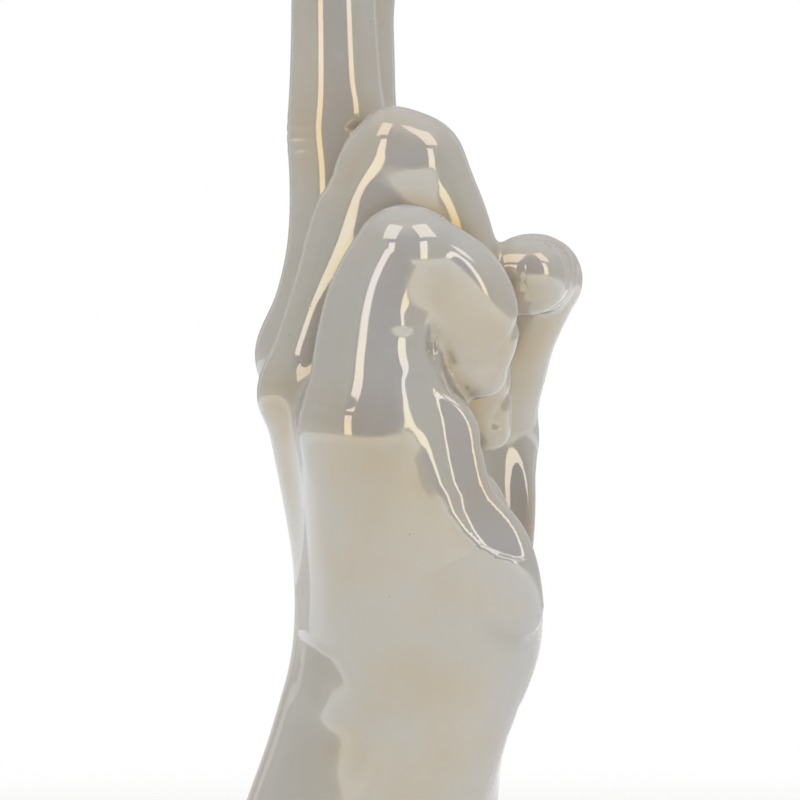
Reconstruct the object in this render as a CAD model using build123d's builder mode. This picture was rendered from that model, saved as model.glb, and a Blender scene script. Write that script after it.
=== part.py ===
"""A slip-cast ceramic hand that stands on its forearm and raises two fingers.

It is a right hand. Its palm faces +X, its little finger is towards -Y and its
fingers point up, +Z. The origin is the middle of the felt's underside.
The palm and arm are one hollow casting. Each finger and the thumb is a casting
of its own, luted on at a flat face, so that its hollow opens into the palm's.
"""

import os
from math import cos, radians, sin

from build123d import *

# Arm and palm
arm_height = 108.0
arm_depth = 60.0
palm_breadth = 74.0

# Casting
wall = 3.0
floor_thickness = 4.0
drain_radius = 5.0
foot_round = 1.0
felt_thickness = 2.0
felt_margin = 2.0
overrun = 2.0

# Each digit's length from its knuckle's centre to its tip's centre, its radius at the
# knuckle, and how far above the knuckle's centre it is luted on
index_length = 94.0
index_radius = 8.6
index_luting_rise = 12.0
middle_length = 102.0
middle_radius = 9.0
middle_luting_rise = 11.0
ring_length = 94.5
ring_radius = 8.2
ring_luting_rise = 15.0
little_length = 60.0
little_radius = 7.7
little_luting_rise = 15.0
thumb_length = 59.0
thumb_radius = 8.3
thumb_luting_rise = 9.0

# Girths in the palm
metacarpal_radius = 8.3
thenar_radius = 14.0
hypothenar_radius = 12.0
ridge_radius = 9.0
web_radius = 7.0
wrist_bone_radius = 8.0

# The cup between the palm's two cushions, and how deep a fingertip presses where it rests
cup_radius = 23.0
press_depth = 1.0

# The arm's outline, one row for each level: its height as a share of arm_height, its back and
# palm edges as shares of arm_depth, its little-finger and thumb edges as shares of palm_breadth
arm_outline_shares = (
    (0.00, -0.50, 0.50, -0.425, 0.445),
    (0.07, -0.44, 0.49, -0.41, 0.43),
    (0.15, -0.375, 0.485, -0.395, 0.425),
    (0.24, -0.31, 0.49, -0.39, 0.42),
    (0.32, -0.26, 0.50, -0.395, 0.41),
    (0.41, -0.205, 0.51, -0.40, 0.405),
    (0.49, -0.155, 0.53, -0.415, 0.405),
    (0.575, -0.115, 0.55, -0.43, 0.42),
    (0.65, -0.095, 0.56, -0.44, 0.445),
    (0.73, -0.085, 0.55, -0.455, 0.485),
    (0.83, -0.09, 0.505, -0.465, 0.525),
    (0.91, -0.105, 0.445, -0.465, 0.54),
    (0.965, -0.11, 0.37, -0.44, 0.53),
    (1.00, -0.08, 0.28, -0.38, 0.47),
)

# How round the arm is: its corners' radius as a share of its lesser depth or breadth
arm_corner_share = 0.48

# Places in the palm, as shares of arm_depth, palm_breadth and arm_height
index_knuckle_shares = (-0.04, 0.405, 1.06)
middle_knuckle_shares = (-0.07, 0.13, 1.08)
ring_knuckle_shares = (-0.07, -0.13, 1.02)
little_knuckle_shares = (0.04, -0.365, 0.94)
thumb_knuckle_shares = (0.48, 0.485, 0.92)
index_wrist_shares = (0.15, 0.23, 0.60)
middle_wrist_shares = (0.10, 0.08, 0.60)
ring_wrist_shares = (0.10, -0.08, 0.60)
little_wrist_shares = (0.14, -0.24, 0.60)
wrist_bone_shares = (0.05, -0.26, 0.53)
thenar_shares = ((0.10, 0.16, 0.45), (0.28, 0.26, 0.62), (0.39, 0.35, 0.78))
hypothenar_shares = (
    (0.32, -0.21, 0.41),
    (0.38, -0.225, 0.53),
    (0.41, -0.23, 0.62),
    (0.40, -0.24, 0.70),
    (0.30, -0.32, 0.86),
    (0.235, -0.365, 1.00),
)
ridge_shares = ((0.17, -0.11, 1.045), (0.16, 0.16, 1.08), (0.16, 0.37, 1.07))
web_shares = ((0.08, 0.41, 0.88), (0.36, 0.46, 0.86))

# Girths along the palm's flesh, as shares of thenar_radius, hypothenar_radius and ridge_radius
thenar_girth_shares = (0.80, 1.00, 0.93)
hypothenar_girth_shares = (0.79, 0.94, 1.06, 1.02, 0.80, 0.72)
ridge_girth_shares = (1.00, 1.00, 0.94)

# A digit's bones, one row for each stretch: its share of the digit's length, how many degrees
# it leans towards the palm and spreads towards the thumb, its end's girth as a share of the
# digit's radius, and whether a rounded joint ends it
index_shares = (
    (0.20, 14, 4, 1.00, False),
    (0.25, 3, 11, 0.96, False),
    (0.155, 1, 13, 0.88, False),
    (0.265, -1, 14, 0.79, False),
    (0.13, -2, 14, 0.70, True),
)
middle_shares = (
    (0.18, 15, 1, 0.97, False),
    (0.22, 1, 0, 0.96, False),
    (0.18, -1, 0, 0.88, False),
    (0.285, -1, -1, 0.78, False),
    (0.135, -1, -1, 0.69, True),
)
ring_shares = (
    (0.263, 21.5, 0, 1.03, False),
    (0.212, 25.5, 0, 1.18, True),
    (0.285, 159, 6, 0.90, True),
    (0.24, 171, 9, 0.70, True),
)
little_shares = (
    (0.305, 14, 0, 1.02, False),
    (0.272, 22, -2, 1.10, True),
    (0.275, 129, 2, 0.94, True),
    (0.148, 182, 3, 0.84, True),
)
thumb_shares = (
    (0.33, 9, -34, 0.84, False),
    (0.33, 23, -34, 0.88, True),
    (0.34, -86, -83, 0.85, True),
)

# Where the thumb's tip presses on the ring finger, as a share of the bone between its two
# joints, and the ways from there to the thumb and from the ring finger's tip to the cup's middle
press_share = 0.85
press_way = (84, 5)
cup_way = (108, 24)

# How much of a rounded lump's girth the stretches that run into it have
joint_share = 0.985


def palm_point(shares):
    """A place in the palm."""
    depth_share, breadth_share, height_share = shares
    return Vector(
        depth_share * arm_depth, breadth_share * palm_breadth, height_share * arm_height
    )


def palm_points(rows):
    """Places in the palm, in order."""
    return [palm_point(row) for row in rows]


def heading(lean, spread):
    """The way that a bone points when it leans towards the palm and spreads to the thumb."""
    lean, spread = radians(lean), radians(spread)
    return Vector(sin(lean) * cos(spread), sin(spread), cos(lean) * cos(spread))


class Digit:
    """A digit's centreline: its knuckle, its luting face, its joints and its girths."""

    def __init__(self, knuckle_shares, length, radius, luting_rise, bone_shares):
        self.knuckle = palm_point(knuckle_shares)
        self.radius = radius
        self.points, self.girths, self.rounded = [self.knuckle], [radius], [False]
        for share, lean, spread, girth_share, rounded in bone_shares:
            self.points.append(self.points[-1] + heading(lean, spread) * (share * length))
            self.girths.append(radius * girth_share)
            self.rounded.append(rounded)
        first = self.points[1] - self.knuckle
        self.way = first.normalized()
        self.girths[0] += (self.girths[1] - radius) * luting_rise / first.length
        self.points[0] = self.knuckle + self.way * luting_rise


index = Digit(index_knuckle_shares, index_length, index_radius, index_luting_rise, index_shares)
middle = Digit(
    middle_knuckle_shares, middle_length, middle_radius, middle_luting_rise, middle_shares
)
ring = Digit(ring_knuckle_shares, ring_length, ring_radius, ring_luting_rise, ring_shares)
little = Digit(
    little_knuckle_shares, little_length, little_radius, little_luting_rise, little_shares
)
thumb = Digit(thumb_knuckle_shares, thumb_length, thumb_radius, thumb_luting_rise, thumb_shares)

# The thumb's tip lies on the ring finger, whose own tip lies in the palm's cup
ring_bone = ring.points[3] - ring.points[2]
ring_girth = ring.girths[2] + (ring.girths[3] - ring.girths[2]) * press_share
thumb.points[-1] = (
    ring.points[2]
    + ring_bone * press_share
    + heading(*press_way) * (ring_girth + thumb.girths[-1] - press_depth)
)
cup_middle = ring.points[-1] + heading(*cup_way) * (cup_radius - ring.girths[-1] + press_depth)
fingers = {
    index_wrist_shares: index,
    middle_wrist_shares: middle,
    ring_wrist_shares: ring,
    little_wrist_shares: little,
}


def smooth_run(points, radii):
    """A smooth stretch of limb through several points."""
    ways = [(after - before).normalized() for before, after in zip(points, points[1:])]
    turns = [before + after for before, after in zip(ways, ways[1:])]
    with BuildPart() as stretch:
        for point, way, radius in zip(points, [ways[0], *turns, ways[-1]], radii):
            with BuildSketch(Plane(origin=point, z_dir=way)):
                Circle(radius)
        loft()
    return stretch.part


def lump_chain(points, radii):
    """Rounded lumps of flesh joined by tapered stretches."""
    covered = [radius * joint_share for radius in radii]
    stretches = [
        smooth_run(points[i : i + 2], covered[i : i + 2]) for i in range(len(points) - 1)
    ]
    with BuildPart() as chain:
        for point, radius in zip(points, radii):
            with Locations(point):
                Sphere(radius)
        add(stretches)
    return chain.part


def digit_form(digit, inset=0.0):
    """A digit from its luting face to its tip, drawn in by an inset all round."""
    points = list(digit.points)
    if inset:
        points[0] -= digit.way * overrun
    radii = [girth - inset for girth in digit.girths]
    covered = [
        radius * joint_share if rounded else radius
        for radius, rounded in zip(radii, digit.rounded)
    ]
    joints = [i for i, rounded in enumerate(digit.rounded) if rounded]
    stretches = [
        smooth_run(points[first : last + 1], covered[first : last + 1])
        for first, last in zip([0, *joints], joints)
    ]
    with BuildPart() as form:
        for i in joints:
            with Locations(points[i]):
                Sphere(radii[i])
        add(stretches)
    return form.part


def arm_section(depth, breadth):
    """The arm's outline at one level, rounder where its depth and breadth are alike."""
    return RectangleRounded(depth, breadth, arm_corner_share * min(depth, breadth))


def arm_form(inset=0.0):
    """The arm and palm without their flesh, drawn in by an inset all round."""
    with BuildPart() as form:
        for height_share, back, front, little_side, thumb_side in arm_outline_shares:
            level = felt_thickness + (arm_height - felt_thickness) * height_share
            with BuildSketch(Plane.XY.offset(level)):
                middle_x = (back + front) / 2 * arm_depth
                middle_y = (little_side + thumb_side) / 2 * palm_breadth
                with Locations((middle_x, middle_y)):
                    arm_section(
                        (front - back) * arm_depth - 2 * inset,
                        (thumb_side - little_side) * palm_breadth - 2 * inset,
                    )
        loft()
        if inset:
            split(bisect_by=Plane.XY.offset(felt_thickness + floor_thickness), keep=Keep.TOP)
            split(bisect_by=Plane.XY.offset(arm_height - inset), keep=Keep.BOTTOM)
        else:
            fillet(form.edges().group_by(Axis.Z)[0], foot_round)
    return form.part


def palm_form(inset=0.0):
    """All that is cast in one with the arm, drawn in by an inset all round."""
    bones = []
    for wrist_shares, finger in fingers.items():
        ends = [palm_point(wrist_shares), finger.knuckle]
        bones.append(lump_chain(ends, [metacarpal_radius - inset, finger.radius - inset]))
    with BuildPart() as cupped:
        add([arm_form(inset), *bones])
        with Locations(cup_middle):
            Sphere(cup_radius + inset, mode=Mode.SUBTRACT)
    pieces = [cupped.part]
    thenar_girths = [share * thenar_radius - inset for share in thenar_girth_shares]
    pieces.append(
        lump_chain(
            [*palm_points(thenar_shares), thumb.knuckle], [*thenar_girths, thumb.radius - inset]
        )
    )
    for digit in (*fingers.values(), thumb):
        face = digit.points[0] + digit.way * (overrun if inset else 0.0)
        radii = [(digit.radius - inset) * joint_share, digit.girths[0] - inset]
        pieces.append(smooth_run([digit.knuckle, face], radii))
    if not inset:
        hypothenar = palm_points(hypothenar_shares)
        hypothenar_girths = [share * hypothenar_radius for share in hypothenar_girth_shares]
        ridge_girths = [share * ridge_radius for share in ridge_girth_shares]
        pieces.append(lump_chain(hypothenar, hypothenar_girths))
        pieces.append(
            lump_chain(
                [hypothenar[-1], *palm_points(ridge_shares)],
                [hypothenar_girths[-1], *ridge_girths],
            )
        )
        pieces.append(lump_chain(palm_points(web_shares), [web_radius, web_radius]))
    with BuildPart() as form:
        add(pieces)
        if not inset:
            with Locations(palm_point(wrist_bone_shares)):
                Sphere(wrist_bone_radius)
    return form.part


# Palm and arm: one hollow casting with a hole in its floor, where the slip was poured out
palm_outside = palm_form()
palm_hollow = palm_form(wall)
with BuildPart() as palm_and_arm:
    add(palm_outside)
    add(palm_hollow, mode=Mode.SUBTRACT)
    with BuildSketch(Plane.XY.offset(felt_thickness)):
        Circle(drain_radius)
    extrude(amount=floor_thickness + overrun, mode=Mode.SUBTRACT)
palm_and_arm.part.label = "palm_and_arm"

# Index finger
with BuildPart() as index_finger:
    add(digit_form(index))
    add(palm_outside, mode=Mode.SUBTRACT)
    add(digit_form(index, wall), mode=Mode.SUBTRACT)
index_finger.part.label = "index_finger"

# Middle finger
with BuildPart() as middle_finger:
    add(digit_form(middle))
    add(palm_outside, mode=Mode.SUBTRACT)
    add(digit_form(middle, wall), mode=Mode.SUBTRACT)
middle_finger.part.label = "middle_finger"

# Ring finger: its tip rests on the palm
ring_outside = digit_form(ring)
with BuildPart() as ring_finger:
    add(ring_outside)
    add([palm_outside, digit_form(middle)], mode=Mode.SUBTRACT)
    add(digit_form(ring, wall), mode=Mode.SUBTRACT)
ring_finger.part.label = "ring_finger"

# Little finger: its knuckle touches the ring finger and its tip rests on the palm
with BuildPart() as little_finger:
    add(digit_form(little))
    add([palm_outside, ring_outside], mode=Mode.SUBTRACT)
    add(digit_form(little, wall), mode=Mode.SUBTRACT)
little_finger.part.label = "little_finger"

# Thumb: its tip presses on the ring finger
with BuildPart() as thumb_casting:
    add(digit_form(thumb))
    add([palm_outside, ring_outside], mode=Mode.SUBTRACT)
    add(digit_form(thumb, wall), mode=Mode.SUBTRACT)
thumb_casting.part.label = "thumb"

# Felt: a flat sheet glued under the foot, over the hole
foot_back, foot_front, foot_little_side, foot_thumb_side = arm_outline_shares[0][1:]
with BuildPart() as felt_base:
    with BuildSketch():
        arm_section(
            (foot_front - foot_back) * arm_depth - 2 * felt_margin,
            (foot_thumb_side - foot_little_side) * palm_breadth - 2 * felt_margin,
        )
    extrude(amount=felt_thickness)
felt_base.part.label = "felt_base"

pieces = (
    palm_and_arm,
    index_finger,
    middle_finger,
    ring_finger,
    little_finger,
    thumb_casting,
    felt_base,
)
os.makedirs("parts", exist_ok=True)
for piece in pieces:
    export_step(piece.part, f"parts/{piece.part.label}.step")
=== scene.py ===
"""Dresses the ceramic hand: its glazed castings, its felt and the studio that it stands in.

The hand's form is one smooth field, low inside the clay and high outside it. Each casting is the
stretch of the field's surface that belongs to it, so the glaze runs over the joins unbroken.
Lengths in the tables are millimetres on a hand of the catalogue height.
"""

import collections
import functools
import math

import bmesh
import bpy
import numpy as np
from bpy.props import FloatProperty, FloatVectorProperty, IntProperty, PointerProperty
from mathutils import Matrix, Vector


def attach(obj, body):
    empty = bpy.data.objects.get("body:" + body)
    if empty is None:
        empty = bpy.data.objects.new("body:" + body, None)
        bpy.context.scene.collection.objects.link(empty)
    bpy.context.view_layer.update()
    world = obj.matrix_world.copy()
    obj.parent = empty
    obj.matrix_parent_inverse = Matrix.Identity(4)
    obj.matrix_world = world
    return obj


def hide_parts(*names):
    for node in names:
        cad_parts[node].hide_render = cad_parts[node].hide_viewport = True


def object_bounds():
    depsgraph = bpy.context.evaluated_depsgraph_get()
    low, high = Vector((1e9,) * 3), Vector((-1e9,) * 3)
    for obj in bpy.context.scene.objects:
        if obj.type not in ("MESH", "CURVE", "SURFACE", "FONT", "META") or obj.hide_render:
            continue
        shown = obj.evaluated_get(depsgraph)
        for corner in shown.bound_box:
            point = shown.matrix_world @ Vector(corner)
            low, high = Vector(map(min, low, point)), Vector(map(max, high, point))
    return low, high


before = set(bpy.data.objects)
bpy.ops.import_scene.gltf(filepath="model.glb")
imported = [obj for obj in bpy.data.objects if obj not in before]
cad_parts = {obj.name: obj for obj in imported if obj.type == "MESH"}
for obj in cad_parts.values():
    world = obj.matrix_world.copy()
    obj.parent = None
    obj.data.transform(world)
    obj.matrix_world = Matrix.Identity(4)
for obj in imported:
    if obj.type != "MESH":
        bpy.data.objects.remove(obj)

bl_info = {
    "name": "Ceramic hand",
    "version": (1, 0, 0),
    "blender": (4, 5, 0),
    "location": "3D View > Sidebar > Ceramic hand",
    "description": "Makes the glazed castings of a ceramic hand, its felt and its studio",
    "category": "Add Mesh",
}

# The frame's size gives the unit: one millimetre on a hand of the catalogue height
CATALOGUE_HEIGHT = 223.2
FRAME_LOW, FRAME_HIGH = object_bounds()
MM = FRAME_HIGH[2] / CATALOGUE_HEIGHT

# The arm, one row for each level: height, back edge, palm edge, little-finger edge,
# thumb edge, and how square the outline is
ARM_LEVELS = (
    (0, -30.4, 30.2, -28.9, 33, 2.15), (9, -26.5, 29.5, -28.9, 32, 2.15),
    (18, -22.5, 29.2, -28.9, 31.5, 2.15), (27, -18.7, 29.3, -29, 31, 2.2),
    (36, -15.5, 29.9, -29.4, 30.5, 2.25), (45, -12.2, 30.7, -30, 30, 2.3),
    (54, -9.4, 31.7, -30.8, 30, 2.35), (63, -7, 33, -31.8, 31, 2.5),
    (71, -5.8, 33.6, -32.8, 33, 2.7), (79, -5, 33.2, -33.6, 36, 2.9),
    (90, -5.4, 30.3, -34.4, 39, 3), (99, -6.5, 26.6, -34.9, 40, 3), (108, -7.2, 23.6, -34.8, 40, 3),
)
ARM_TOP = 112
ARM_TOP_ROUND = 14
FOOT = 2
FOOT_ROUND = 1.6
FELT_MARGIN = 2

# Centre lines, one row for each joint: x, y, z and the radius there
INDEX = (
    (-2.4, 30, 114.5, 8.6), (2, 31.3, 132.7, 8.3), (3.4, 35.6, 155, 8.15), (3.8, 39, 169.5, 7.5),
    (3.6, 43.6, 187.5, 7.15), (3.2, 47, 200.5, 6.6), (2.8, 48.6, 206.3, 5.9),
)
MIDDLE = (
    (-4.2, 9.6, 116.6, 9), (0.1, 9.9, 134.4, 8.55), (0.7, 9.9, 156.7, 8.65),
    (0.3, 9.6, 174.8, 7.85), (-0.1, 9.4, 194.5, 7.4), (-0.2, 9.2, 210.5, 6.8),
    (-0.3, 9.1, 217, 6.1),
)
RING_ROOT = (
    (-4.2, -9.6, 110.2, 8.2), (2.1, -9.1, 128.8, 8.3), (8.5, -9.3, 143.8, 8.8),
    (12.1, -9.5, 150.3, 9.2),
)
RING_FOLD = (
    (7.5, -9.8, 128, 12.5), (9.3, -10, 136, 13.3), (11.3, -9.9, 142.2, 12.8),
    (11.9, -9.6, 147.7, 11),
)
RING_TIP = (
    (15, -9.4, 148.7, 9), (20.6, -8.4, 136.5, 8.4), (23.7, -6.6, 125, 7.2), (25.8, -4.6, 112, 6.3),
    (26.4, -3.4, 104, 5.7),
)
LITTLE_ROOT = (
    (5.4, -26.4, 103.5, 10.3), (8.2, -25.2, 113, 11.6), (10, -25.6, 126, 10.3),
    (13.2, -25.9, 133, 9.4),
)
LITTLE_TIP = (
    (16, -24.6, 131.2, 9.4), (22.2, -23.2, 126.2, 9.8), (24.8, -22.2, 119.5, 8.4),
    (24.7, -21.6, 114.5, 6.6),
)

# The folded little finger: the dent in its fold and the knob beside it, each a middle and three
# radii, and its flattened side, a place and the way that the side faces
LITTLE_DENT = ((18.2, -34.5, 118), (1.7, 5.5, 4.4))
LITTLE_SIDE = ((20, -30.7, 126), (-0.04, -1, -0.14))
LITTLE_KNOB = ((11.5, -30.45, 121.2), (4.2, 4.3, 4.2))

THUMB_ROOT = (
    (19.4, 24, 64.8, 9.5), (28.2, 35.2, 97, 8.3), (31.8, 26.5, 114.5, 7.1),
    (37.6, 14.2, 129.9, 7.5),
)
THUMB_TIP = ((37.4, 11.5, 130.4, 6.8), (36.3, 2, 130.8, 7.2), (35.1, -5.9, 130.1, 6.9))

# The palm's bones and soft mounds, the bone at the wrist and the palm's hollow
METACARPALS = (
    ((8.6, 17, 64.8, 8.3), INDEX[0]),
    ((5.4, 6, 64.8, 8.3), MIDDLE[0]),
    ((5.4, -6, 64.8, 8.3), RING_ROOT[0]),
    ((7.6, -18, 64.8, 8.3), (6, -26, 101.5, 9)),
)
THENAR = ((16.7, 20, 60.6, 13), (23.4, 26, 82.6, 13.5), (28.8, 34.5, 99.9, 8.6))
HYPOTHENAR = (
    (19, -15.5, 44, 9.5), (22.6, -16.6, 57, 11.3), (24.7, -17, 67, 12.7), (24.2, -17.6, 75, 12.2),
    (21.6, -18.6, 84, 10.6),
)
FINGER_PADS = (
    (13, -27, 108.4, 7.5), (10.1, -8, 113, 9), (9.5, 12, 117, 9), (9.5, 28, 115.2, 8.5),
)
WEB = ((4.8, 30.3, 95, 7), (21.6, 34, 92.9, 7))
WRIST_BONE = (3.8, -19.2, 57, 8.4)
PALM_HOLLOW = ((42, 4, 99), (23, 22, 27))

# The palm's edge under the folded little finger, and the flat face that is cut in it: a place and
# the way that it faces, how steeply it bends away behind its start, and that start at each height
HEEL_EDGE = (
    (19.4, -28.6, 104, 5), (21.3, -29.2, 97.5, 5), (25, -29.4, 88.6, 5), (29.1, -29.2, 83.8, 5.1),
    (31, -28.4, 78, 5.5), (31.2, -26.5, 72, 6.3),
)
HEEL_SIDE = ((14.2, -26.75, 95.5, 12.4), (15, -26.5, 88, 12.8), (18.4, -25.1, 80, 14.6))
HEEL_FACE = ((22, -33.1, 98), (0.12, -1, 0.07))
HEEL_FACE_BEND = 0.5
HEEL_FACE_START = (
    (77, 43), (80, 34.5), (81.2, 30), (82.5, 27.2), (85.2, 25), (88.7, 23.2), (91.4, 22.7),
    (93.4, 21.6), (98.1, 20.5), (104.9, 19.4), (108, 18.4), (111.6, 16.3),
)

# The side of the wrist: where its hollow starts at each height, how deep it is, and the dent in
# it: x, z, breadth, length, depth and softness. Then how the hollow fades at its start, up the arm
# and round the side
WRIST_SIDE_START = (
    (39.6, 5.4), (47.7, 9.5), (53.1, 10.8), (55.8, 7.4), (63, 1.4), (66.2, -5), (70, -13),
)
WRIST_SIDE_DEPTH = 0.22
WRIST_DENT = (-2.2, 57.2, 3.8, 5.6, 0.45, 0.75)
WRIST_SIDE_FADES = ((-2.5, 2.5), (28, 42), (8, 20))

# The hollow in the thumb's root that faces the palm
THENAR_HOLLOW = ((34, 5, 106), (13, 21.5, 40))

# How wide the smooth hollow or round is between each form of the palm and those before it
METACARPAL_BLEND, PALM_BLEND, PALM_HOLLOW_BLEND, WRIST_BONE_BLEND = 12, 8, 6, 5
MOUND_BLENDS = (8, 7, 6, 8)
EDGE_BLENDS = (4, 3)
HEEL_FACE_START_BLEND, HEEL_FACE_BLEND, THENAR_HOLLOW_BLEND = 1.2, 1.1, 4
LITTLE_CUT_BLEND, LITTLE_KNOB_BLEND = 1.5, 1

# The lines of the palm and wrist, seen from the front: y, z; then how deep and how wide. They lie
# in front of an x and between two heights, and fade in over two x and towards their ends
PALM_LINES = (
    (((34, 104), (20, 101.5), (8, 93), (3.5, 80), (7, 67), (11, 59)), 0.7, 1.1),
    (((33, 104), (19, 104), (4, 100), (-11, 93.5), (-25, 86)), 0.5, 1),
    (((-34, 99), (-21, 102.5), (-6, 106), (7, 110), (15, 115)), 0.6, 1),
    (((-22, 54), (-8, 52.5), (6, 52.5), (20, 54.5)), 0.3, 0.9),
    (((-20, 49), (-4, 47.5), (10, 47.6), (19, 49)), 0.22, 0.9),
)
PALM_LINES_BOX = (6, 44, 120)
PALM_LINES_FADE, LINE_END_FADE = (8, 14), 9

# The digits. Each limb has its centre line, the side that it bends about, how thin it is across
# that side, the rows at which it has a joint, whether it ends in a nail and, for some, how square
# its section is. Then come the blend between a digit's limbs, the blend into the rest of the hand,
# and the luting face: a point, and the way that the digit leaves
ACROSS = (0, 1, 0)
THUMB_ACROSS = (0, 0, -1)
ROUND = 2.0
DIGITS = {
    "index_finger": (
        ((INDEX, ACROSS, 1, (2, 4), True),), (4, 5), ((0.5, 30.8, 126.1), (0.241, 0.07, 0.968)),
    ),
    "middle_finger": (
        ((MIDDLE, ACROSS, 1, (2, 4), True),), (4, 5), ((-1.4, 9.2, 127.3), (0.259, -0.035, 0.965)),
    ),
    "ring_finger": (
        (
            (RING_ROOT, ACROSS, 1, (), False, 2.8),
            (RING_FOLD, ACROSS, 0.65, (), False, ROUND),
            (RING_TIP, ACROSS, 1, (2,), True),
        ),
        (4, 4), ((1.3, -9.6, 124.1), (0.367, 0, 0.93)),
    ),
    "little_finger": (
        ((LITTLE_ROOT, ACROSS, 0.87, (), False, ROUND), (LITTLE_TIP, ACROSS, 0.88, (), True)),
        (2.5, 4), ((6, -27, 116.1), (0.242, 0, 0.97)),
    ),
    "thumb": (
        ((THUMB_ROOT, THUMB_ACROSS, 1, (2,), False), (THUMB_TIP, THUMB_ACROSS, 1, (), True)),
        (3, 4), ((30, 30.9, 106.7), (0.13, -0.559, 0.819)),
    ),
}
CASTINGS = ("palm_and_arm", *DIGITS)

# How far round its luting face a digit is told from the palm, and how much a face's own casting
# counts against each neighbour's. Then each ring of the face that closes a casting where it is
# luted: how far it shrinks, and its depth
LUTING_REACH, OWN_VOTES = 30, 1.5
LUTING_RINGS = ((0.12, 0.8), (0.2, 1.5), (0.3, 2.2), (0.45, 2.8))

# The box that the hand's surface is looked for in, and how far painted shade and highlight look for
# clay
FIELD_BOX = ((-40, -42, -1), (52, 56, 227))
SHADE_REACH = 3.0

# The glaze's dark specks: the cell that may hold one, the share that holds none, and the edge of a
# speck as shares of the cell; then the bare clay
SPECK_CELL, CELLS_WITHOUT_SPECK, SPECK_EDGE = 3.6, 0.86, (0.035, 0.07)
DARK_CLAY, PALE_CLAY = (0.46, 0.41, 0.34), (0.62, 0.57, 0.49)

# The felt: sides of its outline, the round of its cut edge, and its fibres' thickness by length
FELT_SIDES, FELT_ROUND, FIBRE_SLIMNESS = 160, 0.35, 0.03

# The studio: its colours, its paper in metres, its lamps, and what the camera sees
LEFT_WALL, GREEN_BAND = (0.5, 0.47, 0.41), (0.5, 0.53, 0.43)
CEILING, WALL_FOOT = (0.6, 0.59, 0.57), (0.75, 0.73, 0.69)
FLOOR_REACH, PAPER_REACH, WALL_SIDES = 1.6, 1.2, 96
SQUARE_LAMP, REAR_LAMP_COLOURS = (1.0, 0.93, 0.93), ((1.0, 0.98, 0.95), (1.0, 0.95, 0.88))
REAR_POWER, SQUARE_POWER = 0.36, 0.8
REAR_TURN, SQUARE_TURN, SQUARE_TILT = math.radians(148), 1.32, math.radians(50)
VIEW_AIM, VIEW_WIDTH, SENSOR = (12.24, 0.0, 108.0), 144.0, 36.0

# The lamps' distance as a share of the wall's, then sizes and heights as shares of that distance
LAMP_SHARE = 0.94
TALL_BREADTH, REAR_BREADTH, LAMP_FOOT, TALL_FADE, REAR_FADE = 0.22, 0.14, 0.03, 0.58, 0.9
SQUARE_NEAR, SQUARE_BREADTH, SQUARE_LOW, SQUARE_HIGH = 0.66, 0.36, 0.52, 0.93


def blend(first, second, width):
    """The lower of two fields, with a smooth hollow of the given width between them."""
    near = np.maximum(width - np.abs(first - second), 0.0) / width
    return np.minimum(first, second) - near**3 * width / 6.0


def bell(distance, width):
    """One at no distance, and falling away smoothly over the width."""
    return np.exp(-((distance / width) ** 2))


def ease(value, low, high):
    """Nought below low, one above high, and smooth between them."""
    share = np.clip((value - low) / (high - low), 0.0, 1.0)
    return share * share * (3 - 2 * share)


def bone(points, start, end):
    """Distance from a tapered, round-ended bone; start and end are x, y, z, radius."""
    start, end = np.array(start), np.array(end)
    run = end[:3] - start[:3]
    length = np.linalg.norm(run)
    slope = (end[3] - start[3]) / length
    level = math.sqrt(1.0 - slope * slope)
    offset = points - start[:3]
    along = offset @ run / length
    across = np.sqrt(np.maximum((offset * offset).sum(-1) - along * along, 0.0))
    nearest = np.clip(along + across * slope / level, 0.0, length)
    return np.hypot(along - nearest, across) - start[3] - slope * nearest


class Curve:
    """A natural cubic curve through rows whose first column is the place along it."""

    def __init__(self, rows):
        table = np.array(rows)
        self.at, self.values = table[:, 0], table[:, 1:]
        count = len(table)
        gap = np.diff(self.at)
        self.gap = gap
        system, target = np.eye(count), np.zeros_like(self.values)
        for i in range(1, count - 1):
            system[i, i - 1 : i + 2] = gap[i - 1], 2 * (gap[i - 1] + gap[i]), gap[i]
            rise = (self.values[i + 1] - self.values[i]) / gap[i]
            target[i] = 3 * (rise - (self.values[i] - self.values[i - 1]) / gap[i - 1])
        self.bend = np.linalg.solve(system, target)

    def __call__(self, where):
        """The values at each place, how fast they change, and how fast that changes."""
        where = np.clip(where, self.at[0], self.at[-1])
        i = np.clip(np.searchsorted(self.at, where) - 1, 0, len(self.gap) - 1)
        gap, t = self.gap[i][:, None], (where - self.at[i])[:, None]
        start, bend, next_bend = self.values[i], self.bend[i], self.bend[i + 1]
        slope = (self.values[i + 1] - start) / gap - gap * (2 * bend + next_bend) / 3
        cube = (next_bend - bend) / (3 * gap)
        values = start + t * (slope + t * (bend + t * cube))
        return values, slope + t * (2 * bend + 3 * t * cube), 2 * bend + 6 * t * cube


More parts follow.
